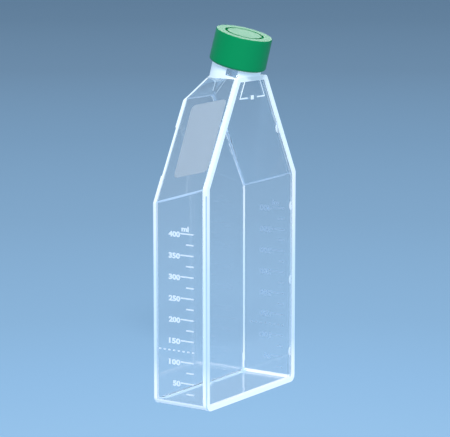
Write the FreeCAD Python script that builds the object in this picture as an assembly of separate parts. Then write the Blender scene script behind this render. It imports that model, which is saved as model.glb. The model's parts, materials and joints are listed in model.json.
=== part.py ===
"""Cell culture flask with a canted neck and a vented screw cap, standing on its end wall.

Millimetres. X runs across the flask, Y through it from the cover plate (-Y) to the growth
face (+Y), and Z up. The origin is the middle of the end wall that the flask stands on.
"""

import FreeCAD, Part
import math
import os

V = FreeCAD.Vector
X_AXIS = V(1, 0, 0)
Y_AXIS = V(0, 1, 0)
Z_AXIS = V(0, 0, 1)

# Flask, outside
flask_width = 104.0
flask_depth = 42.0
front_shoulder_height = 142.4     # where the narrow sides begin to taper, at the cover plate
back_shoulder_height = 130.0      # the same, at the growth face
neck_end_height = 209.0           # top of the tapered part, where the neck starts
neck_end_half_width = 16.3        # half the width there, at the cover plate
ramp_drop = 15.1                  # from there down to where the growth face turns in
ramp_angle = 39.0                 # from the vertical, in degrees
hip_drop = 16.5                   # and down to the foot of the flat beside the ramp
hip_half_width = 18.4
hip_angle = 46.6
hip_turn = 24.9                   # how far the flat faces away from the ramp, in degrees
base_corner_radius = 4.5
shoulder_radius = 3.0
neck_end_radius = 3.0
growth_edge_radius = 1.2
growth_corner_radius = 2.5        # inside the tray, round the growth face
inner_corner_radius = 0.5

# Walls
body_wall = 1.5
end_wall = 2.0
plate_thickness = 1.2

# Welded seam between tray and cover plate
seam_depth = 3.0                  # depth of the cover plate's rim
rim_width = 3.0
rim_proud = 0.6                   # how far the rim stands out of the plate, to stack flasks
flange_depth = 1.0                # the tray's own thickened edge behind the seam
base_rim_width = 3.2              # the rim is wider along the end wall

# Half-round ejector pads inside the cover plate, along its rim
pad_radius = 3.0
pad_depth = 0.4
pad_heights = (20.8, 69.6, 119.5)
shoulder_pad_height = 172.8

# Notch in the growth face's edge on each tapered side
notch_foot = 146.6
notch_head = 176.2
notch_depth = 1.6
notch_width = 1.6

# Neck
neck_tilt = 15.1                  # from the vertical, towards the cover plate, in degrees
neck_axis_y = -7.1                # where the neck's axis leaves the top of the tapered part
neck_length = 25.15               # along the axis, from there to the mouth
neck_radius = 15.2
neck_wall = 1.8
neck_root = 11.0                  # how far the neck runs down into the tapered part
collar_radius = 15.9              # the neck's thicker foot, below the thread
collar_start = 18.6               # along the axis, from the mouth
lip_chamfer = 0.4

# Screw cap, in its own frame: Z along the neck, 0 at the mouth
cap_radius = 18.5
cap_draft = 0.25
cap_height = 20.9
cap_wall = 1.6
cap_top_thickness = 2.0
cap_hem_radius = 1.8
cap_edge_chamfer = 0.4
seal_height = 0.8
seal_width = 2.4
seal_clearance = 0.15
vent_radius = 11.8                # middle of the ring of vents
vent_width = 1.7
vent_groove_depth = 0.9
vent_count = 8
vent_bridge_angle = 14.0          # the web between two vents, in degrees

# Vent filter membrane
membrane_thickness = 0.3
membrane_clearance = 0.1          # to the underside of the cap's top
membrane_side_clearance = 0.3

# Raised outline on the cover plate below the neck
mark_drop = 13.9                  # from the top of the tapered part down to the outline's foot
mark_foot_half_width = 14.6
mark_top_half_width = 9.2
mark_line = 0.8
mark_raise = 0.3
mark_break = 11.5
mark_dot_width = 3.2
mark_dot_height = 2.6

# Worked out from the above
front_y = -flask_depth / 2
back_y = flask_depth / 2
seam_y = front_y + seam_depth
half_width = flask_width / 2
taper_slope = (half_width - neck_end_half_width) / (neck_end_height - front_shoulder_height)
shoulder_drop = (front_shoulder_height - back_shoulder_height) / flask_depth
taper_stretch = math.sqrt(1 + taper_slope ** 2 + (taper_slope * shoulder_drop) ** 2)
ramp_start_height = neck_end_height - ramp_drop
hip_start_height = neck_end_height - hip_drop
mark_foot = neck_end_height - mark_drop
cutter_reach = 2 * flask_width
edge_tolerance = 0.01


def shoulder_height(y):
    """Height at which the narrow sides begin to taper, at depth y."""
    return front_shoulder_height - shoulder_drop * (y - front_y)


def taper_half_width(y, z, inset):
    """Half the tapered part's width at depth y and height z, set in from its outside."""
    return half_width - inset * taper_stretch - taper_slope * (z - shoulder_height(y))


def rounded_wire(corners, radii, y):
    """Closed outline in the plane at depth y, with an arc of the given radius at each corner."""
    edges = []
    starts = []
    ends = []
    mids = []
    for i in range(len(corners)):
        here = V(corners[i][0], y, corners[i][1])
        before = V(corners[i - 1][0], y, corners[i - 1][1]) - here
        after_corner = corners[(i + 1) % len(corners)]
        after = V(after_corner[0], y, after_corner[1]) - here
        before.normalize()
        after.normalize()
        half_turn = before.getAngle(after) / 2
        reach = radii[i] / math.tan(half_turn)
        middle = before + after
        middle.normalize()
        starts.append(here + before * reach)
        ends.append(here + after * reach)
        mids.append(here + middle * (radii[i] / math.sin(half_turn) - radii[i]))
    for i in range(len(corners)):
        edges.append(Part.Arc(starts[i], mids[i], ends[i]).toShape())
        edges.append(Part.LineSegment(ends[i], starts[(i + 1) % len(corners)]).toShape())
    return Part.Wire(edges)


def outline(y, side_inset, base_inset, top):
    """The flask's front view at depth y, set in by the wall and closed at height top."""
    side = half_width - side_inset
    fold = shoulder_height(y) - side_inset * (taper_stretch - 1) / taper_slope
    narrow = taper_half_width(y, top, side_inset)
    corners = [
        (-side, base_inset),
        (side, base_inset),
        (side, fold),
        (narrow, top),
        (-narrow, top),
        (-side, fold),
    ]
    base_round = base_corner_radius - side_inset
    top_round = max(neck_end_radius - side_inset, inner_corner_radius)
    radii = [base_round, base_round, shoulder_radius, top_round, top_round, shoulder_radius]
    return rounded_wire(corners, radii, y)


def slab(y_from, y_to, side_inset, base_inset, top):
    """Solid of the flask's front view between two depths, following the slanted shoulders."""
    front = outline(y_from, side_inset, base_inset, top)
    back = outline(y_to, side_inset, base_inset, top)
    return with_flat_faces(Part.makeLoft([front, back], True, True))


def with_flat_faces(shape):
    """The same solid with its flat sides on true planes, so that fillets come out simple."""
    faces = []
    for face in shape.Faces:
        corners = [vertex.Point for vertex in face.OuterWire.OrderedVertexes]
        corners.append(corners[0])
        is_side = len(face.Edges) == 4 and face.findPlane()
        faces.append(Part.Face(Part.makePolygon(corners)) if is_side else face)
    shell = Part.makeShell(faces)
    shell.sewShape()
    return Part.makeSolid(shell)


def beyond(start, angle, turn, inset):
    """Everything beyond a plane that leans by one angle and is turned about Z by the other."""
    level = math.cos(math.radians(angle))
    outward = V(level * math.sin(math.radians(turn)), level * math.cos(math.radians(turn)),
                math.sin(math.radians(angle)))
    corner = V(-cutter_reach / 2, -cutter_reach / 2, -inset)
    space = Part.makeBox(cutter_reach, cutter_reach, cutter_reach, corner)
    space.Placement = FreeCAD.Placement(start, FreeCAD.Rotation(Z_AXIS, outward))
    return space


def behind_ramp(inset):
    """Cutters for the ramp from the growth face to the neck, and for the flat on each side."""
    ramp = beyond(V(0, back_y, ramp_start_height), ramp_angle, 0, inset)
    hips = [beyond(V(side * hip_half_width, back_y, hip_start_height), hip_angle,
                   side * hip_turn, inset) for side in (-1, 1)]
    return [ramp] + hips


def neck_frame():
    """Placement whose Z runs along the neck, with 0 at the mouth."""
    tilt = FreeCAD.Rotation(X_AXIS, neck_tilt)
    axis = tilt.multVec(Z_AXIS)
    mouth = V(0, neck_axis_y, neck_end_height) + axis * neck_length
    return FreeCAD.Placement(mouth, tilt)


def neck_cylinder(radius, start, root):
    """Cylinder along the neck, from below the mouth down into the tapered part."""
    foot = neck_length + root
    tube = Part.makeCylinder(radius, foot - start, V(0, 0, -foot), Z_AXIS)
    tube.Placement = neck_frame()
    return tube


def before(y, top):
    """Box that holds everything in front of depth y and below height top."""
    corner = V(-cutter_reach / 2, y - cutter_reach, top - cutter_reach)
    return Part.makeBox(cutter_reach, cutter_reach, cutter_reach, corner)


def edges_at(shape, y):
    """Edges that lie at depth y, such as the ones round the growth face."""
    edges = []
    for edge in shape.Edges:
        box = edge.BoundBox
        if box.YMin > y - edge_tolerance and box.YMax < y + edge_tolerance:
            edges.append(edge)
    return edges


def tray_outside():
    """Outside of the moulded tray, with its growth face edges rounded and its neck on."""
    block = slab(seam_y, back_y, 0, 0, neck_end_height)
    block = block.cut(behind_ramp(0))
    block = block.makeFillet(growth_edge_radius, edges_at(block, back_y))
    block = block.cut(edge_notches())
    neck = neck_cylinder(neck_radius, 0, neck_root)
    neck = neck.makeChamfer(lip_chamfer, [highest_rim(neck)])
    neck = neck.fuse(neck_cylinder(collar_radius, collar_start, neck_root))
    return block.fuse(neck.cut(before(seam_y, neck_end_height)))


def highest_rim(shape):
    """The round edge of a turned shape that lies highest."""
    circles = [edge for edge in shape.Edges if edge.Closed]
    return max(circles, key=lambda edge: edge.CenterOfMass.z)


def lowest_rim(shape):
    """The round edge of a turned shape that lies lowest."""
    circles = [edge for edge in shape.Edges if edge.Closed]
    return min(circles, key=lambda edge: edge.CenterOfMass.z)


def edge_notches():
    """Room for the shallow notch in the growth face's edge on each tapered side."""
    y = back_y - notch_depth
    around = slab(y, back_y + notch_depth, -notch_width, 0, neck_end_height)
    across = slab(y, back_y + notch_depth, notch_width, 0, neck_end_height)
    corner = V(-cutter_reach / 2, y, notch_foot)
    level = Part.makeBox(cutter_reach, cutter_reach, notch_head - notch_foot, corner)
    return around.cut(across).common(level)


def tray_inside():
    """Space inside the tray, from its thickened edge to the mouth of the neck."""
    room = slab(seam_y + flange_depth, back_y - body_wall, body_wall, end_wall,
                neck_end_height - body_wall)
    room = room.cut(behind_ramp(body_wall))
    room = room.makeFillet(growth_corner_radius, edges_at(room, back_y - body_wall))
    way_in = slab(seam_y, seam_y + flange_depth, rim_width, base_rim_width,
                  neck_end_height - rim_width)
    bore = neck_cylinder(neck_radius - neck_wall, 0, neck_root)
    bore = bore.cut(before(front_y + body_wall, neck_end_height + neck_wall))
    return room.fuse([way_in, bore])


def ejector_pads():
    """Half-round pads that the mould's ejector pins push on, inside the plate along its rim."""
    pads = []
    y = front_y + rim_proud + plate_thickness
    for z in pad_heights:
        for side in (-1, 1):
            edge = V(side * (half_width - rim_width), y, z)
            pads.append(half_pad(edge, side, 0))
    lean = math.degrees(math.atan(taper_slope))
    for side in (-1, 1):
        x = side * taper_half_width(y, shoulder_pad_height, rim_width)
        pads.append(half_pad(V(x, y, shoulder_pad_height), side, side * lean))
    return pads


def half_pad(edge, side, lean):
    """One pad: a half cylinder along Y whose flat back runs into the plate's rim."""
    disc = Part.makeCylinder(pad_radius, pad_depth, edge, Y_AXIS)
    keep = Part.makeBox(2 * pad_radius, 2 * pad_depth, 4 * pad_radius,
                        edge - V(pad_radius, pad_depth / 2, 2 * pad_radius))
    keep.translate(V(-side * (pad_radius - rim_width / 2), 0, 0))
    keep.rotate(edge, Y_AXIS, -lean)
    return disc.common(keep)


def flask_body():
    """The tray, its narrow sides, ramp and neck: one moulding."""
    return tray_outside().cut(tray_inside()).removeSplitter()


def plate_mark():
    """Raised outline on the plate below the neck, open at its foot around a small block."""
    top = neck_end_height - rim_width
    plate_y = front_y + rim_proud
    frames = []
    for inset in (0, mark_line):
        wide = mark_foot_half_width - inset
        slim = mark_top_half_width - inset
        points = [
            V(-wide, plate_y, mark_foot + inset),
            V(wide, plate_y, mark_foot + inset),
            V(slim, plate_y, top),
            V(-slim, plate_y, top),
        ]
        points.append(points[0])
        frames.append(Part.Face(Part.makePolygon(points)).extrude(Y_AXIS * -mark_raise))
    gap = Part.makeBox(mark_break, mark_raise, 2 * mark_line,
                       V(-mark_break / 2, plate_y - mark_raise, mark_foot - mark_line / 2))
    dot_foot = mark_foot + (mark_line - mark_dot_height) / 2
    dot = Part.makeBox(mark_dot_width, mark_raise, mark_dot_height,
                       V(-mark_dot_width / 2, plate_y - mark_raise, dot_foot))
    return [frames[0].cut(frames[1]).cut(gap), dot]


def cover_plate():
    """The plate welded over the tray, with a rim that stands proud on both of its faces."""
    rim = slab(front_y, seam_y, 0, 0, neck_end_height)
    outer_step = slab(front_y, front_y + rim_proud, rim_width, base_rim_width,
                      neck_end_height - rim_width)
    inner_step = slab(front_y + rim_proud + plate_thickness, seam_y, rim_width, base_rim_width,
                      neck_end_height - rim_width)
    plate = rim.cut(outer_step).cut(inner_step)
    return plate.fuse(plate_mark() + ejector_pads()).removeSplitter()


def turned(points):
    """Solid turned about Z from (radius, height) corners."""
    path = [V(r, 0, z) for r, z in points]
    path.append(path[0])
    return Part.Face(Part.makePolygon(path)).revolve(V(0, 0, 0), Z_AXIS, 360)


def screw_cap():
    """The cap: skirt, top, a seal ring over the neck's lip, and a ring of vents."""
    underside = seal_clearance + seal_height
    top = underside + cap_top_thickness
    hem = top - cap_height
    shell = turned([(0, hem), (cap_radius, hem), (cap_radius - cap_draft, top), (0, top)])
    shell = shell.makeFillet(cap_hem_radius, [lowest_rim(shell)])
    shell = shell.makeChamfer(cap_edge_chamfer, [highest_rim(shell)])
    hollow = Part.makeCylinder(cap_radius - cap_draft - cap_wall, underside - hem,
                               V(0, 0, hem), Z_AXIS)
    shell = shell.cut(hollow)
    seal_inner = neck_radius - neck_wall - seal_clearance
    seal = Part.makeCylinder(seal_inner + seal_width, seal_height,
                             V(0, 0, seal_clearance), Z_AXIS)
    seal = seal.cut(Part.makeCylinder(seal_inner, seal_height, V(0, 0, seal_clearance), Z_AXIS))
    shell = shell.fuse(seal)
    shell = shell.cut(ring(top - vent_groove_depth, vent_groove_depth, 0, 360))
    span = 360 / vent_count
    for i in range(vent_count):
        start = i * span + vent_bridge_angle / 2
        shell = shell.cut(ring(underside, cap_top_thickness, start, span - vent_bridge_angle))
    shell = shell.removeSplitter()
    shell.Placement = neck_frame()
    return shell


def ring(z, height, start, angle):
    """Part of the ring of vents, from one height up and over one angle."""
    inner = vent_radius - vent_width / 2
    points = [V(inner, 0, z), V(inner + vent_width, 0, z),
              V(inner + vent_width, 0, z + height), V(inner, 0, z + height), V(inner, 0, z)]
    sector = Part.Face(Part.makePolygon(points)).revolve(V(0, 0, 0), Z_AXIS, angle)
    sector.rotate(V(0, 0, 0), Z_AXIS, start)
    return sector


def vent_membrane():
    """The filter disc under the vents, inside the seal ring."""
    radius = neck_radius - neck_wall - seal_clearance - membrane_side_clearance
    base = seal_clearance + seal_height - membrane_clearance - membrane_thickness
    disc = Part.makeCylinder(radius, membrane_thickness, V(0, 0, base), Z_AXIS)
    disc.Placement = neck_frame()
    return disc


os.makedirs("parts", exist_ok=True)
pieces = {
    "flask_body": flask_body(),
    "cover_plate": cover_plate(),
    "screw_cap": screw_cap(),
    "vent_membrane": vent_membrane(),
}
for name, shape in pieces.items():
    shape.exportStep(os.path.join("parts", name + ".step"))
    box = shape.BoundBox
    print(name, "solids", len(shape.Solids), "valid", shape.isValid())
    print("  cm3", round(shape.Volume / 1000, 2), "z", round(box.ZMin, 2), round(box.ZMax, 2))
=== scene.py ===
import json
import math

import bpy
from mathutils import Matrix, Vector


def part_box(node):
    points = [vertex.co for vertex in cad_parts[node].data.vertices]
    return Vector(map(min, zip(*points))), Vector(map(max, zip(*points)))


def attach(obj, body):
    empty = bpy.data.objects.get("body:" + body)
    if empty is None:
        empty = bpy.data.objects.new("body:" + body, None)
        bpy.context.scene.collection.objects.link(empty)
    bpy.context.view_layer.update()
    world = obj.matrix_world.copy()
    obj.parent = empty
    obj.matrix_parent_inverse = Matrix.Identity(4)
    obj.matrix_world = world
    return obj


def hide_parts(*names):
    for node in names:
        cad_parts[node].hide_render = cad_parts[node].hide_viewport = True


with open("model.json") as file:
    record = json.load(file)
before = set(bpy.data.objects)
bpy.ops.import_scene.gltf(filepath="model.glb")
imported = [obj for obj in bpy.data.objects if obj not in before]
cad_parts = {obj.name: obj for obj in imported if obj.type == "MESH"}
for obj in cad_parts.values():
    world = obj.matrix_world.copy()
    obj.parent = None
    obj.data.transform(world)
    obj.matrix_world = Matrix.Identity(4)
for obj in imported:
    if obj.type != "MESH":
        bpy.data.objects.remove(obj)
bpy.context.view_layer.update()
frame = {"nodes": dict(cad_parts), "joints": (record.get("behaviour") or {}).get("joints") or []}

# ----------------------------------------------------------------------------------------
# Tray
# One injection moulding of clear polystyrene: growth face, narrow sides, shoulders, ramp
# and canted neck. Its solid corners get a near-white painted highlight with a glow, which
# stands in for the light that runs along them and leaves there; the thin polished walls
# between them stay clear.

MM = 0.001
SAME_PLACE = 0.001 * MM       # corners closer than this are one corner,
SLIVER = 0.01 * MM            # and a face thinner than this is none
END_WALL_TOP = 2.1 * MM
END_BEND = 4.4 * MM           # the bend between the end wall and the growth face, inside
END_WALL_BAND = 3.5 * MM      # how far the painted highlight of the foot reaches up the narrow sides
NEAR_CORNER_BAND = 2.9 * MM   # and the painted highlight along the growth face corner, on each side
FAR_CORNER_BAND = 1.2 * MM
FLANGE = 1.0 * MM             # depth of the painted highlight on the edge that the plate is welded to
# The bend where a narrow side begins to taper gets a pale painted highlight:
FOLD_FROM = math.radians(5)   # the middle of the bend where a narrow side begins to taper
FOLD_TO = math.radians(27)
FOLD_HIGHEST = 150 * MM
RAMP_LOWEST = 185 * MM
NECK_SHOWS_BELOW = -17 * MM   # along the neck, from the mouth down to the cap's hem
WINDOW_FOOT = -23 * MM        # the clear window on each side of its foot starts here
WINDOW_FROM = math.radians(52)
WINDOW_TO = math.radians(80)
BEHIND_FROM = 0.2             # how far to the right a face of the neck's clear back looks
HIP_EASING = 1.2 * MM         # the painted highlights on the edges of the slanted flats beside the ramp,
HIP_SMALLEST = 15 * MM * MM   # found by the size of the faces that meet there
HIP_BEND = math.radians(5)    # and the angle between them
FLAT = math.radians(0.5)      # faces that bend less than this are one flat face,
SOFT_BEND = math.radians(25)  # and those that bend less than this are one round one
SQUARELY = 0.99               # how far a face looks along an axis: straight along it,
NEARLY = 0.93                 # almost straight,
FAR_BEND_LINE = 0.75          # as the painted bright middle of the bend inside the far corner does,
FAR_BEND = 0.65               # as all of that bend does,
MOSTLY = 0.6                  # more than across it,
HALFWAY = 0.5
PARTLY = 0.3
SLIGHTLY = 0.1
BARELY = 0.02
WELD_GAP = 0.05 * MM          # keeps the tray and the plate from sharing a face
POLYSTYRENE_IOR = 1.59
EDGE_HIGHEST = 0.24           # height that the painted tones of the bright corners run up to, in metres
# Painted highlight tones by height, for the bright corners and the pale lines: they stand in for
# the light that the solid plastic carries and lets out there.
EDGE_HIGHLIGHT_TONES = ((0.0, "FAFAFE"), (0.015, "F3F7FC"), (0.03, "D2E4F4"), (0.085, "DAEBF6"),
              (0.11, "EAF2F8"), (0.138, "F2F6FB"), (0.148, "F2FBFF"), (0.24, "F4FDFF"))
LINE_HIGHLIGHT_TONES = ((0.0, "CDE6FC"), (0.12, "C4DDF5"), (0.15, "CBE0F3"), (0.24, "D5E8FA"))
# The second and third of these are painted highlights with a glow, bright and pale; the first and
# last are the plastic's own clear and satin finishes.
CLEAR, BRIGHT_HIGHLIGHT, PALE_HIGHLIGHT, SATIN = range(4)      # places in the tray's list of materials


def linear(colour):
    """The linear colour, with full alpha, of an sRGB hex value."""
    values = [int(colour[i:i + 2], 16) / 255 for i in (0, 2, 4)]
    return [v / 12.92 if v <= 0.04045 else ((v + 0.055) / 1.055) ** 2.4 for v in values] + [1]


def new_material(name, colour, **settings):
    """A material whose main shader has the given colour and socket values."""
    material = bpy.data.materials.new(name)
    material.use_nodes = True
    shader = material.node_tree.nodes["Principled BSDF"]
    shader.inputs["Base Color"].default_value = linear(colour)
    for socket, value in settings.items():
        shader.inputs[socket.replace("_", " ")].default_value = value
    return material, shader


def add_node(material, kind, values=None, links=None, **settings):
    """Adds one node to a material, with its socket values, incoming links and settings."""
    tree = material.node_tree
    node = tree.nodes.new(kind)
    for name, value in settings.items():
        setattr(node, name, value)
    for socket, value in (values or {}).items():
        node.inputs[socket].default_value = value
    for socket, source in (links or {}).items():
        tree.links.new(source, node.inputs[socket])
    return node


def only(piece):
    """Selects one object and makes it the one that operators work on."""
    bpy.ops.object.select_all(action="DESELECT")
    piece.select_set(True)
    bpy.context.view_layer.objects.active = piece


def copy_of_node(node, name):
    """A copy of a CAD solid with its triangles joined and its flat faces made whole."""
    piece = bpy.data.objects.new(name, frame["nodes"][node].data.copy())
    bpy.context.collection.objects.link(piece)
    piece.data.materials.clear()
    only(piece)
    bpy.ops.object.mode_set(mode="EDIT")
    bpy.ops.mesh.select_all(action="SELECT")
    bpy.ops.mesh.remove_doubles(threshold=SAME_PLACE)
    bpy.ops.mesh.dissolve_limited(angle_limit=FLAT)
    bpy.ops.object.mode_set(mode="OBJECT")
    return piece


def cut_across(piece, place, normal):
    """Cuts a line round a piece along a plane and keeps both sides."""
    only(piece)
    bpy.ops.object.mode_set(mode="EDIT")
    bpy.ops.mesh.select_all(action="SELECT")
    bpy.ops.mesh.bisect(plane_co=place, plane_no=normal)
    bpy.ops.object.mode_set(mode="OBJECT")


def ease_edges(piece, wanted, width, easing_material):
    """Eases the edges between two faces that are wanted, with a material on the easing."""
    faces_at = {}
    for face in piece.data.polygons:
        for key in face.edge_keys:
            faces_at.setdefault(key, []).append(face)
    only(piece)
    bpy.ops.object.mode_set(mode="EDIT")
    bpy.ops.mesh.select_mode(type="EDGE")
    bpy.ops.mesh.select_all(action="DESELECT")
    bpy.ops.object.mode_set(mode="OBJECT")
    for edge in piece.data.edges:
        sides = faces_at[edge.key]
        edge.select = len(sides) == 2 and wanted(sides[0], sides[1])
    bpy.ops.object.mode_set(mode="EDIT")
    bpy.ops.mesh.bevel(offset=width, segments=2, material=easing_material)
    bpy.ops.mesh.select_all(action="SELECT")
    bpy.ops.mesh.dissolve_degenerate(threshold=SLIVER)
    bpy.ops.object.mode_set(mode="OBJECT")


def smooth_bends(piece):
    """Shades soft bends smooth and keeps flat faces flat."""
    only(piece)
    bpy.ops.object.shade_smooth_by_angle(angle=SOFT_BEND)
    bpy.ops.object.modifier_add(type="WEIGHTED_NORMAL")
    piece.modifiers[-1].keep_sharp = True
    bpy.ops.object.modifier_apply(modifier=piece.modifiers[-1].name)


def add_relief(material, shader, bump_width, depth, strength):
    """Fine uneven relief, from the width and depth of one bump."""
    coordinates = add_node(material, "ShaderNodeTexCoord")
    noise = add_node(material, "ShaderNodeTexNoise", values={"Scale": 1 / bump_width, "Detail": 2},
                     links={"Vector": coordinates.outputs["Object"]})
    bump = add_node(material, "ShaderNodeBump", links={"Height": noise.outputs[0]},
                    values={"Strength": strength, "Distance": depth})
    material.node_tree.links.new(bump.outputs[0], shader.inputs["Normal"])


def set_stops(ramp, stops):
    """Gives a colour ramp its stops, (position, colour) in rising order."""
    ramp.elements[1].position = stops[-1][0]
    ramp.elements[0].position = stops[0][0]
    for position, colour in stops[1:-1]:
        ramp.elements.new(position)
    for element, (position, colour) in zip(ramp.elements, stops):
        element.color = linear(colour)


def clear_polystyrene(name, roughness):
    """Clear polystyrene: high index, a trace of haze and flow lines, polished or satin."""
    material, shader = new_material(name, "FFFFFF", Transmission_Weight=0.97,
                                    IOR=POLYSTYRENE_IOR, Roughness=roughness)
    add_relief(material, shader, bump_width=22.2 * MM, depth=0.02 * MM, strength=0.2)
    return material


def glowing_edge_highlight(name, tones, transmission, glow):
    """A near-white painted highlight with a glow, for where the plastic is solid at a corner: it
    stands in for the light that the plastic carries and lets out there, toned by height.
    """
    material, shader = new_material(name, tones[0][1], Transmission_Weight=transmission,
                                    IOR=POLYSTYRENE_IOR, Roughness=0.25,
                                    Emission_Strength=glow)
    coordinates = add_node(material, "ShaderNodeTexCoord")
    parts = add_node(material, "ShaderNodeSeparateXYZ",
                     links={0: coordinates.outputs["Object"]})
    height = add_node(material, "ShaderNodeMath", links={0: parts.outputs["Z"]},
                      values={1: 1 / EDGE_HIGHEST}, operation="MULTIPLY")
    colours = add_node(material, "ShaderNodeValToRGB", links={0: height.outputs[0]})
    set_stops(colours.color_ramp, [(at / EDGE_HIGHEST, colour) for at, colour in tones])
    material.node_tree.links.new(colours.outputs[0], shader.inputs["Base Color"])
    material.node_tree.links.new(colours.outputs[0], shader.inputs["Emission Color"])
    add_relief(material, shader, bump_width=3.33 * MM, depth=0.03 * MM, strength=0.4)
    return material


def show_light_through(piece):
    """Lets lamps and the sky shine through a clear piece, as thin clear walls do."""
    piece.visible_shadow = False
    piece.visible_diffuse = False


clear = clear_polystyrene("clear_polystyrene", roughness=0.0)
satin = clear_polystyrene("satin_polystyrene", roughness=0.04)
# Painted highlights: a near-white colour with a glow, bright on the solid corners and pale on the
# lines.
bright_highlight = glowing_edge_highlight("glowing_edge_highlight", EDGE_HIGHLIGHT_TONES, transmission=0.05, glow=0.25)
pale_highlight = glowing_edge_highlight("glowing_line_highlight", LINE_HIGHLIGHT_TONES, transmission=0.25, glow=0.15)
plate_low, plate_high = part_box("cover_plate")
seam_y = plate_high.y
growth_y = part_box("flask_body")[1].y
shoulder_top = plate_high.z
cap_turn = next(joint for joint in frame["joints"] if joint["name"] == "cap_turn")
mouth = Vector(cap_turn["pos_m"])
neck_axis = Vector(cap_turn["axis"]).normalized()
neck_place = Matrix.Translation(mouth) @ neck_axis.to_track_quat("Z", "Y").to_matrix().to_4x4()


def neck_finish_and_highlight(spot, facing):
    """The material of a neck face: a painted highlight on its thick foot, but for two clear
    windows.
    """
    along_neck = neck_axis.dot(spot - mouth)
    off_axis = spot - mouth - neck_axis * along_neck
    side = abs(math.atan2(facing.x, -facing.y))
    in_window = WINDOW_FROM < side < WINDOW_TO and along_neck > WINDOW_FOOT
    is_outer = facing.dot(off_axis) > 0 and along_neck < NECK_SHOWS_BELOW
    is_behind = facing.x > BEHIND_FROM and facing.y > 0
    return BRIGHT_HIGHLIGHT if is_outer and not in_window and not is_behind else CLEAR


def far_bend_finish_and_highlight(facing):
    """The material of a face on the bend inside the far corner: a painted highlight line in clear
    plastic.
    """
    if abs(facing.z) > SLIGHTLY:
        return PALE_HIGHLIGHT
    return BRIGHT_HIGHLIGHT if facing.y < -FAR_BEND_LINE else CLEAR


def growth_corner_finish_and_highlight(spot, facing):
    """The material of a face on the corner along the growth face: a painted highlight on one side
    only.
    """
    is_line = abs(facing.x) < PARTLY and (spot.z > RAMP_LOWEST or spot.z < END_WALL_BAND)
    return PALE_HIGHLIGHT if is_line else BRIGHT_HIGHLIGHT if spot.x < 0 else CLEAR


def tray_finish_and_highlight(spot, facing):
    """The material of a face of the tray, by where its middle is and which way it looks:
    clear, satin or a painted highlight.
    """
    if spot.z > shoulder_top - MM:
        return neck_finish_and_highlight(spot, facing)
    in_end_bend = spot.y > growth_y - END_BEND and spot.z < END_BEND
    if in_end_bend and facing.y < -BARELY and facing.z > MOSTLY:
        return PALE_HIGHLIGHT
    if spot.z < END_WALL_TOP and abs(facing.z) > NEARLY:
        return SATIN
    if spot.x > 0 and facing.x < -BARELY and facing.y < -FAR_BEND:
        return far_bend_finish_and_highlight(facing)
    is_ramp = spot.z > RAMP_LOWEST and abs(facing.y) > MOSTLY and abs(facing.z) > MOSTLY
    if abs(facing.y) > SQUARELY or is_ramp:
        return CLEAR
    if spot.y > growth_y - (NEAR_CORNER_BAND if spot.x < 0 else FAR_CORNER_BAND):
        return growth_corner_finish_and_highlight(spot, facing)
    if spot.z < END_WALL_BAND and abs(facing.x) > HALFWAY:
        return BRIGHT_HIGHLIGHT
    if spot.y < seam_y + FLANGE + WELD_GAP and spot.z < shoulder_top:
        return BRIGHT_HIGHLIGHT if spot.x < 0 or abs(facing.x) < HALFWAY else CLEAR
    lean = math.atan2(facing.z, abs(facing.x))
    in_fold = FOLD_FROM < lean < FOLD_TO and facing.x * spot.x > 0 and spot.z < FOLD_HIGHEST
    return PALE_HIGHLIGHT if in_fold else CLEAR


def is_hip_edge(one, other, side):
    """Whether two faces meet at an edge of the flat beside the ramp, on one side."""
    hips = [face.normal.y > MOSTLY and face.normal.z > MOSTLY for face in (one, other)]
    is_outer = min(one.normal.z, other.normal.z) > PARTLY
    is_large = min(one.area, other.area) > HIP_SMALLEST
    on_side = (one.center.x + other.center.x) * side > 0
    bend = one.normal.angle(other.normal)
    return any(hips) and is_outer and is_large and on_side and bend > HIP_BEND


tray = copy_of_node("flask_body", "tray")
cut_across(tray, (0, growth_y - NEAR_CORNER_BAND, 0), (0, 1, 0))
cut_across(tray, (0, growth_y - FAR_CORNER_BAND, 0), (0, 1, 0))
cut_across(tray, (0, 0, END_WALL_BAND), (0, 0, 1))
cut_across(tray, (0, 0, shoulder_top - MM), (0, 0, 1))
cut_across(tray, mouth + neck_axis * NECK_SHOWS_BELOW, neck_axis)
cut_across(tray, mouth + neck_axis * WINDOW_FOOT, neck_axis)
for material in (clear, bright_highlight, pale_highlight, satin):
    tray.data.materials.append(material)
for face in tray.data.polygons:
    face.material_index = tray_finish_and_highlight(face.center, face.normal)
# The eased hip edges get the painted bright highlight.
for side, width in ((-1, HIP_EASING), (1, HIP_EASING / 2)):
    ease_edges(tray, lambda one, other: is_hip_edge(one, other, side), width, BRIGHT_HIGHLIGHT)
smooth_bends(tray)
show_light_through(tray)
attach(tray, "root")
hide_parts("flask_body")

# ----------------------------------------------------------------------------------------
# Cover plate
# A flat clear polystyrene moulding with a rim on both faces, welded all round to the tray.
# The rim and the raised outline below the neck get a painted highlight with a glow, for the
# light that their thick plastic scatters. On the far rim it is painted only in a band along
# its edge.

SAME_DEPTH = 0.05 * MM
WEB_FACES = (0.6 * MM, 1.8 * MM)      # depths of the thin web's faces, from the rim's front
CORNER_LINE = 1.1 * MM        # depth of the darker, pale painted line beside the rim's front corner,
LINE_TOP = 138 * MM           # which ends below the taper
PAD_MIDDLES = (1.9 * MM, 2.25 * MM)   # the middle of each face of a pad is between these depths
PADS_FROM = 8 * MM            # and this far from the plate's foot and head
FAR_STEP = 1.0 * MM           # height of the step inside the far rim, which is clear
FAR_SIDE_FRONT = 1.6 * MM     # the far rim's side has the painted highlight up to this depth,
FAR_BACK_BAND = 2.1 * MM      # and its back in a band this wide along its edge,
FAR_BACK_FOOT = 5 * MM        # and below this height


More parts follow.
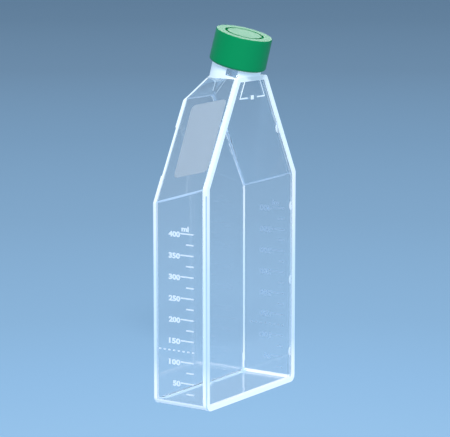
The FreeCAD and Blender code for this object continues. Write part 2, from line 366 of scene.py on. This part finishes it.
def is_web(face):
    """Whether a face is one of the wide faces of the thin web inside the rim."""
    depth = face.center.y - plate_low.y
    is_level = min(abs(depth - web) for web in WEB_FACES) < SAME_DEPTH
    return is_level and abs(face.normal.y) > SQUARELY


def is_near_pad(face):
    """Whether a face belongs to a pad on the near side: they stand on the web's inside."""
    depth = face.center.y - plate_low.y
    is_between = PADS_FROM < face.center.z < shoulder_top - PADS_FROM
    is_inside = face.normal.x > -SLIGHTLY and PAD_MIDDLES[0] < depth < PAD_MIDDLES[1]
    return face.center.x < 0 and is_between and is_inside


def is_clear_far_rim(face):
    """Whether a face of the far rim is clear: on its step, its back or its side."""
    is_step = face.normal.x < -HALFWAY and face.center.y > seam_y - FAR_STEP
    is_side = face.normal.x > HALFWAY and face.center.y > plate_low.y + FAR_SIDE_FRONT
    from_edge = min((spot - face.center).dot(out) for spot, out in far_edges)
    is_back = face.normal.y > NEARLY and face.center.y > seam_y - FAR_STEP / 2
    is_inner = from_edge > FAR_BACK_BAND and face.center.z > FAR_BACK_FOOT
    return face.center.x > 0 and (is_step or is_side or (is_back and is_inner))


def plate_finish_and_highlight(face):
    """The material of a face of the plate: clear, or a painted highlight on the rim with a paler
    painted line beside its corner.
    """
    if is_web(face) or is_near_pad(face) or is_clear_far_rim(face):
        return CLEAR
    outwards = face.normal.x * math.copysign(1, face.center.x)
    is_front = face.center.y < plate_low.y + CORNER_LINE and face.center.z < LINE_TOP
    return PALE_HIGHLIGHT if is_front and outwards > HALFWAY else BRIGHT_HIGHLIGHT


plate = copy_of_node("cover_plate", "cover_plate_look")
for corner in plate.data.vertices:
    if corner.co.y > seam_y - WELD_GAP:
        corner.co.y -= WELD_GAP
    if corner.co.z > shoulder_top - WELD_GAP:
        corner.co.z -= WELD_GAP
for material in (clear, bright_highlight, pale_highlight):
    plate.data.materials.append(material)
cut_across(plate, (0, plate_low.y + CORNER_LINE, 0), (0, 1, 0))
upright = max((face for face in plate.data.polygons if face.normal.x > SQUARELY),
              key=lambda face: face.area)
tapered = max((face for face in plate.data.polygons if HALFWAY < face.normal.x < SQUARELY),
              key=lambda face: face.area)
far_edges = [(side.center.copy(), side.normal.copy()) for side in (upright, tapered)]
cut_across(plate, (0, plate_low.y + FAR_SIDE_FRONT, 0), (0, 1, 0))
cut_across(plate, (0, 0, 0), (1, 0, 0))
cut_across(plate, (0, 0, FAR_BACK_FOOT), (0, 0, 1))
cut_across(plate, (0, 0, LINE_TOP), (0, 0, 1))
for spot, out in far_edges:
    cut_across(plate, spot - out * FAR_BACK_BAND, out)
for face in plate.data.polygons:
    face.material_index = plate_finish_and_highlight(face)
smooth_bends(plate)
show_light_through(plate)
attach(plate, "root")
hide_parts("cover_plate")

# ----------------------------------------------------------------------------------------
# Neck thread
# A right-handed thread with two starts, moulded on the neck in the same clear polystyrene.
# The cap rises by its lead with each turn.

THREAD_LEAD = 8 * MM
THREAD_TURNS = 1.1            # of each start
THREAD_FACETS = 72            # to the turn
THREAD_ROOT_WIDTH = 1.9 * MM
THREAD_CREST_WIDTH = 0.7 * MM
NECK_THREAD_ROOT = 15.1 * MM  # radius, just inside the neck's skin
NECK_THREAD_CREST = 16.2 * MM
NECK_THREAD_START = -12 * MM  # along the neck, from the mouth


def thread(name, root, crest, start, first_angle):
    """One start of a thread: a trapezium screwed round the neck's axis, closed at its ends."""
    bpy.ops.object.select_all(action="DESELECT")
    bpy.ops.mesh.primitive_plane_add(size=1)
    ridge = bpy.context.object
    ridge.name = name
    profile = [(root, -THREAD_ROOT_WIDTH / 2), (root, THREAD_ROOT_WIDTH / 2),
               (crest, -THREAD_CREST_WIDTH / 2), (crest, THREAD_CREST_WIDTH / 2)]
    for corner, (radius, height) in zip(ridge.data.vertices, profile):
        corner.co = (radius * math.cos(first_angle), radius * math.sin(first_angle),
                     start + height)
    bpy.ops.object.modifier_add(type="SCREW")
    screw = ridge.modifiers[-1]
    screw.angle = math.tau * THREAD_TURNS
    screw.screw_offset = THREAD_LEAD * THREAD_TURNS
    screw.steps = round(THREAD_FACETS * THREAD_TURNS)
    screw.render_steps = screw.steps
    bpy.ops.object.modifier_apply(modifier=screw.name)
    bpy.ops.object.mode_set(mode="EDIT")
    bpy.ops.mesh.select_all(action="SELECT")
    bpy.ops.mesh.remove_doubles(threshold=SAME_PLACE)
    bpy.ops.mesh.fill_holes(sides=4)
    bpy.ops.mesh.select_all(action="SELECT")
    bpy.ops.mesh.normals_make_consistent(inside=False)
    bpy.ops.object.mode_set(mode="OBJECT")
    return ridge


def joined(pieces, name):
    """Several objects made into one."""
    bpy.ops.object.select_all(action="DESELECT")
    for piece in pieces:
        piece.select_set(True)
    bpy.context.view_layer.objects.active = pieces[0]
    bpy.ops.object.join()
    pieces[0].name = name
    return pieces[0]


def placed(piece, place):
    """Moves a piece to its place and keeps the place in its mesh."""
    piece.matrix_world = place
    only(piece)
    bpy.ops.object.transform_apply(location=True, rotation=True, scale=True)
    return piece


starts = [thread("thread_start", NECK_THREAD_ROOT, NECK_THREAD_CREST, NECK_THREAD_START, first)
          for first in (0, math.pi)]
neck_thread = placed(joined(starts, "neck_thread"), neck_place)
neck_thread.data.materials.append(clear)
smooth_bends(neck_thread)
show_light_through(neck_thread)
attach(neck_thread, "root")

# ----------------------------------------------------------------------------------------
# Graduations
# Scale marks, numerals and a dotted fill line on both narrow sides: printed in white ink on
# one, and moulded in low relief in the wall's own plastic on the other. The relief scale is
# stretched and lowered to lie where the near scale's shadow falls on the far wall, so it is
# partly real graduations and partly a painted shadow.

TICK_STEP = 13.75 * MM        # height of 50 ml
FIRST_MARK = 16.5 * MM        # height of the 50 ml mark
MARK_COUNT = 16               # marks half a step apart, from 25 ml up
MARK_VOLUME = 25              # ml from one mark to the next
INK = 0.04 * MM               # thickness of a mark
INK_LIFT = 0.01 * MM          # and the gap that keeps it from sharing a face with the wall
TICK_HEIGHT = 0.9 * MM
NUMERAL_HEIGHT = 3.7 * MM
NUMERAL_DROP = 0.7 * MM       # a numeral's middle is this far below its mark
NUMERAL_WIDTH = 2.97 * MM
LETTER_DEPTH = 0.02           # of the text before it is fitted, in the text's own units,
LETTER_STROKE = 0.05          # and how much its strokes are thickened
UNIT_HEIGHT = 3.4 * MM
UNIT_WIDTH = 5.6 * MM
UNIT_LINE = 114.2 * MM        # height of the unit's foot
DOT_LINE = 37.1 * MM          # height of the dotted line
FAR_SHADOW_STRETCH = 1.054           # the far scale is drawn a little taller, as the near scale's shadow is,
FAR_SHADOW_DROP = 2.2 * MM           # and starts a little lower, as that shadow does
DOT_WIDTH = 1.8 * MM
DOT_COUNT = 8


def white_ink_with_glow():
    """Pad-printed white ink: thin, matt and not quite opaque, with a fine grain and a faint
    painted glow.
    """
    material, shader = new_material("white_ink_with_glow", "F4FAFF", Roughness=0.6,
                                    Transmission_Weight=0.15, Emission_Strength=0.05)
    # A faint painted glow in the ink's own colour.
    shader.inputs["Emission Color"].default_value = linear("F4FAFF")
    add_relief(material, shader, bump_width=0.25 * MM, depth=0.01 * MM, strength=0.3)
    return material


def raised_marks():
    """The wall's own plastic in low relief. Such shallow marks bend light far less than these
    would, so their index is low."""
    material, shader = new_material("raised_polystyrene", "EAF4FF", Roughness=0.5, IOR=1.05,
                                    Transmission_Weight=0.91)
    add_relief(material, shader, bump_width=0.25 * MM, depth=0.01 * MM, strength=0.3)
    return material


def bar(middle, width, height):
    """A printed bar on the sheet of marks, with its corners eased."""
    bpy.ops.object.select_all(action="DESELECT")
    bpy.ops.mesh.primitive_plane_add(size=1, location=(middle[0], middle[1], 0))
    mark = bpy.context.object
    mark.scale = (width, height, 1)
    bpy.ops.object.transform_apply(location=True, rotation=True, scale=True)
    bpy.ops.object.mode_set(mode="EDIT")
    bpy.ops.mesh.bevel(offset=height / 4, segments=2, affect="VERTICES")
    bpy.ops.mesh.extrude_region_move(TRANSFORM_OT_translate={"value": (0, 0, INK)})
    bpy.ops.mesh.select_all(action="SELECT")
    bpy.ops.mesh.normals_make_consistent(inside=False)
    bpy.ops.object.mode_set(mode="OBJECT")
    return mark


def lettering(words, corner, height, width, align):
    """Printed words on the sheet of marks, fitted to a height and a width."""
    bpy.ops.object.select_all(action="DESELECT")
    bpy.ops.object.text_add()
    text = bpy.context.object
    text.data.body = words
    text.data.align_x = align
    text.data.extrude = LETTER_DEPTH / 2
    text.data.offset = LETTER_STROKE
    text.data.resolution_u = 3
    bpy.ops.object.convert(target="MESH")
    text = bpy.context.object
    lows = [min(v.co[i] for v in text.data.vertices) for i in range(2)]
    highs = [max(v.co[i] for v in text.data.vertices) for i in range(2)]
    end = lows[0] if align == "LEFT" else highs[0]
    scale_x = width / (highs[0] - lows[0])
    scale_y = height / (highs[1] - lows[1])
    text.matrix_world = (Matrix.Translation((corner[0], corner[1], INK / 2))
                         @ Matrix.Diagonal((scale_x, scale_y, INK / LETTER_DEPTH, 1))
                         @ Matrix.Translation((-end, -lows[1], 0)))
    bpy.ops.object.transform_apply(location=True, rotation=True, scale=True)
    return text


def scale_of_marks(name, long_tick, short_tick, numeral_end, unit_end, dots, align, place):
    """The whole scale of one narrow side, drawn flat and then laid on that side."""
    marks = []
    for mark in range(MARK_COUNT):
        height = FIRST_MARK + (mark - 1) * TICK_STEP / 2
        if abs(height - DOT_LINE) < TICK_STEP / 8:
            continue  # the dotted line takes this mark's place
        is_long = mark % 2 == 1
        start, end = long_tick if is_long else short_tick
        marks.append(bar(((start + end) / 2, height), abs(end - start), TICK_HEIGHT))
        if is_long:
            words = str(MARK_VOLUME * (mark + 1))
            width = NUMERAL_WIDTH * len(words)
            corner = (numeral_end, height - NUMERAL_DROP - NUMERAL_HEIGHT / 2)
            marks.append(lettering(words, corner, NUMERAL_HEIGHT, width, align))
    for i in range(DOT_COUNT):
        marks.append(bar((dots[0] + (dots[1] - dots[0]) * i / (DOT_COUNT - 1), DOT_LINE),
                         DOT_WIDTH, TICK_HEIGHT))
    marks.append(lettering("ml", unit_end, UNIT_HEIGHT, UNIT_WIDTH, align))
    return placed(joined(marks, name), place)


half_width = plate_high.x + INK_LIFT
near_side = Matrix(((0, 0, -1, -half_width), (-1, 0, 0, 0), (0, 1, 0, 0), (0, 0, 0, 1)))
far_side = Matrix(((0, 0, 1, half_width), (1, 0, 0, 0), (0, FAR_SHADOW_STRETCH, 0, -FAR_SHADOW_DROP),
                   (0, 0, 0, 1)))
near_scale = scale_of_marks("scale_left", long_tick=(0.6 * MM, 10.7 * MM),
                            short_tick=(4.9 * MM, 10.8 * MM), numeral_end=0.4 * MM,
                            unit_end=(7.1 * MM, UNIT_LINE), dots=(-15.5 * MM, 10.2 * MM),
                            align="RIGHT", place=near_side)
near_scale.data.materials.append(white_ink_with_glow())
show_light_through(near_scale)
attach(near_scale, "root")
far_scale = scale_of_marks("scale_right", long_tick=(-11.4 * MM, -1.4 * MM),
                           short_tick=(-11.4 * MM, -6.3 * MM), numeral_end=-1.0 * MM,
                           unit_end=(-7.1 * MM, UNIT_LINE), dots=(14.0 * MM, -10.7 * MM),
                           align="LEFT", place=far_side)
far_scale.data.materials.append(raised_marks())
show_light_through(far_scale)
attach(far_scale, "root")

# ----------------------------------------------------------------------------------------
# Writing field
# A frosted field on one tapered side, for a pen: a thin matt coat with rounded corners,
# slanted like the fold below it.

FIELD_COAT = 0.03 * MM
FIELD_CORNER = 3.2 * MM
FIELD_FOOT = ((9.4, 146.2), (-17.2, 152.7))       # depth and height of its lower corners, mm
FIELD_HEAD = ((11.4, 190.2), (-16.0, 196.1))       # and of its upper corners


def frosted_coat():
    """A frosted print on polystyrene: pale grey, matt, half clear."""
    material, shader = new_material("frosted_coat", "D6DEE4", Transmission_Weight=0.74,
                                    IOR=1.5, Roughness=0.6)
    add_relief(material, shader, bump_width=0.333 * MM, depth=0.02 * MM, strength=0.5)
    return material


sides = [face for face in tray.data.polygons
         if face.normal.x < -HALFWAY and face.normal.z > PARTLY]
taper = max(sides, key=lambda face: face.area)


def on_taper(depth, height):
    """The point of the tapered side's plane at a depth and a height."""
    out = taper.normal
    across = out.dot(taper.center) - out.y * depth - out.z * height
    return Vector((across / out.x, depth, height)) + out * INK_LIFT


bpy.ops.object.select_all(action="DESELECT")
bpy.ops.mesh.primitive_plane_add(size=1)
field = bpy.context.object
field.name = "writing_field"
for corner, (depth, height) in zip(field.data.vertices, FIELD_FOOT + FIELD_HEAD):
    corner.co = on_taper(depth * MM, height * MM)
bpy.ops.object.mode_set(mode="EDIT")
bpy.ops.mesh.select_all(action="SELECT")
bpy.ops.mesh.bevel(offset=FIELD_CORNER, segments=6, affect="VERTICES")
bpy.ops.mesh.extrude_region_move(
    TRANSFORM_OT_translate={"value": taper.normal * FIELD_COAT})
bpy.ops.mesh.select_all(action="SELECT")
bpy.ops.mesh.normals_make_consistent(inside=False)
bpy.ops.object.mode_set(mode="OBJECT")
field.data.materials.append(frosted_coat())
show_light_through(field)
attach(field, "root")

# ----------------------------------------------------------------------------------------
# Screw cap
# A satin green polyethylene moulding that screws onto the neck, with a ring of vents round a
# plain middle, and a seal ring inside for the neck's lip.


def green_polyethylene():
    """Dyed polyethylene: satin, slightly waxy, with the faint mottle of a moulded face."""
    material, shader = new_material("green_polyethylene", "009A58", Roughness=0.35, IOR=1.5,
                                    Specular_IOR_Level=0.2)
    add_relief(material, shader, bump_width=1.11 * MM, depth=0.02 * MM, strength=0.25)
    return material


green = green_polyethylene()
cap = copy_of_node("screw_cap", "cap")
cap.data.materials.append(green)
smooth_bends(cap)
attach(cap, "cap")
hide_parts("screw_cap")

# ----------------------------------------------------------------------------------------
# Cap thread
# Two thread starts in the cap's own polyethylene, moulded inside its skirt, where they run
# between those of the neck.

CAP_THREAD_ROOT = 16.7 * MM   # radius, just inside the skirt's wall
CAP_THREAD_CREST = 15.6 * MM
CAP_THREAD_START = -14 * MM

starts = [thread("cap_thread_start", CAP_THREAD_ROOT, CAP_THREAD_CREST, CAP_THREAD_START, first)
          for first in (0, math.pi)]
cap_thread = placed(joined(starts, "cap_thread"), neck_place)
cap_thread.data.materials.append(green)
smooth_bends(cap_thread)
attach(cap_thread, "cap")

# ----------------------------------------------------------------------------------------
# Vent membrane
# A thin disc of white filter sheet, welded under the vents inside the cap's seal ring. It
# lets gas through and keeps germs out.


def filter_sheet():
    """Porous filter sheet: white and matt. Its pores are too fine to show, so they are drawn
    as a grain of about a tenth of a millimetre."""
    material, shader = new_material("filter_membrane", "F2F2EE", Roughness=0.8)
    add_relief(material, shader, bump_width=0.111 * MM, depth=0.02 * MM, strength=0.6)
    return material


membrane = copy_of_node("vent_membrane", "membrane")
membrane.data.materials.append(filter_sheet())
smooth_bends(membrane)
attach(membrane, "vent_filter")
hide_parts("vent_membrane")

# ----------------------------------------------------------------------------------------
# Studio
# A sheet of blue paper for the floor, with a painted pool of light on it, a dim even sky, and
# two soft lamps: one over the camera's left shoulder and a weaker one from behind on the right.

FLOOR_RADIUS = 9.0
FLOOR_DROP = 0.3 * MM                  # keeps the paper clear of the flask's foot
LIGHT_POOL_MIDDLE = (-0.25, -0.168, 0)      # brightest place of the painted pool of light, in front of the flask
FLOOR_REACH = 5.7                      # how far from there the tones below go, in metres
# Tones of the painted pool of light, by distance from its middle in metres:
FLOOR_LIGHT_POOL_TONES = ((0.22, "A0C5E2"), (0.36, "9ABFDD"), (0.55, "93B6D2"), (1.04, "89A9C3"),
               (1.74, "7F9DB6"), (2.9, "738DA3"), (4.64, "698297"), (5.7, "667F94"))
SKY_TONES = ((0.50, "7FA6CC"), (0.55, "A3C8EE"), (0.62, "9FC0E2"), (0.72, "7E97AE"),
             (1.0, "A9BBCB"))
SKY_STRENGTH = 0.9
KEY_FROM = Vector((-0.55, -0.45, 0.70))        # where the lamp stands, seen from the flask
KEY_STRENGTH = 2.6
KEY_ANGLE = math.radians(20)
BACK_FROM = Vector((0.82, 0.40, 0.41))
BACK_STRENGTH = 0.17
BACK_ANGLE = math.radians(12)
VIEW_AZIMUTH = math.radians(-56.11)
VIEW_ELEVATION = math.radians(8.95)
VIEW_MIDDLE = Vector((0, 0, 0.0935))   # what the camera looks at, in metres,
VIEW_SHIFT = Vector((-0.0004, 0.0217, 0))      # how far it then slides right and up,
VIEW_DISTANCE = 1.293                  # and how far away it stands
LENS = 158.8                           # focal length and film width, in mm
FILM_WIDTH = 36
VIEW_END = 50                          # how far it sees, in metres


def floor_paper_and_light_pool():
    """Blue background paper: matt, with a painted pool of light, brightest in front of the flask
    and darker further off.
    """
    material, shader = new_material("floor_paper_and_light_pool", "83A9CD", Roughness=0.9,
                                    Specular_IOR_Level=0.0)
    coordinates = add_node(material, "ShaderNodeTexCoord")
    distance = add_node(material, "ShaderNodeVectorMath", values={1: LIGHT_POOL_MIDDLE},
                        links={0: coordinates.outputs["Object"]}, operation="DISTANCE")
    share = add_node(material, "ShaderNodeMath", links={0: distance.outputs["Value"]},
                     values={1: 1 / FLOOR_REACH}, operation="MULTIPLY")
    tones = add_node(material, "ShaderNodeValToRGB", links={0: share.outputs[0]})
    set_stops(tones.color_ramp, [(at / FLOOR_REACH, colour) for at, colour in FLOOR_LIGHT_POOL_TONES])
    material.node_tree.links.new(tones.outputs[0], shader.inputs["Base Color"])
    return material


bpy.ops.object.select_all(action="DESELECT")
bpy.ops.mesh.primitive_circle_add(vertices=96, radius=FLOOR_RADIUS, fill_type="NGON",
                                  location=(0, 0, -FLOOR_DROP))
floor = bpy.context.object
floor.name = "floor"
bpy.ops.object.transform_apply(location=True, rotation=True, scale=True)
floor.data.materials.append(floor_paper_and_light_pool())

world = bpy.data.worlds.new("studio")
world.use_nodes = True
sky_direction = add_node(world, "ShaderNodeTexCoord")
sky_height = add_node(world, "ShaderNodeSeparateXYZ",
                      links={0: sky_direction.outputs["Generated"]})
half_up = add_node(world, "ShaderNodeMath", links={0: sky_height.outputs["Z"]},
                   values={1: 0.5, 2: 0.5}, operation="MULTIPLY_ADD")
sky = add_node(world, "ShaderNodeValToRGB", links={0: half_up.outputs[0]})
set_stops(sky.color_ramp, SKY_TONES)
backdrop = world.node_tree.nodes["Background"]
world.node_tree.links.new(sky.outputs[0], backdrop.inputs["Color"])
backdrop.inputs["Strength"].default_value = SKY_STRENGTH
bpy.context.scene.world = world


def soft_lamp(name, towards, strength, angle):
    """A soft lamp that shines from one direction."""
    bpy.ops.object.select_all(action="DESELECT")
    bpy.ops.object.light_add(type="SUN", location=towards)
    lamp = bpy.context.object
    lamp.name = name
    lamp.rotation_euler = towards.to_track_quat("Z", "Y").to_euler()
    lamp.data.energy = strength
    lamp.data.angle = angle


soft_lamp("key_lamp", KEY_FROM, KEY_STRENGTH, KEY_ANGLE)
soft_lamp("back_lamp", BACK_FROM, BACK_STRENGTH, BACK_ANGLE)

bpy.ops.object.select_all(action="DESELECT")
bpy.ops.object.camera_add()
camera = bpy.context.object
back = Vector((math.sin(VIEW_AZIMUTH) * math.cos(VIEW_ELEVATION),
               -math.cos(VIEW_AZIMUTH) * math.cos(VIEW_ELEVATION), math.sin(VIEW_ELEVATION)))
turned = back.to_track_quat("Z", "Y")
camera.location = VIEW_MIDDLE + back * VIEW_DISTANCE + turned @ VIEW_SHIFT
camera.rotation_euler = turned.to_euler()
camera.data.lens = LENS
camera.data.sensor_width = FILM_WIDTH
camera.data.clip_end = VIEW_END
bpy.context.scene.camera = camera
bpy.context.scene.view_settings.view_transform = "Standard"
cycles = bpy.context.scene.cycles
cycles.max_bounces = 32
cycles.transmission_bounces = 32
cycles.glossy_bounces = 16
cycles.caustics_refractive = False
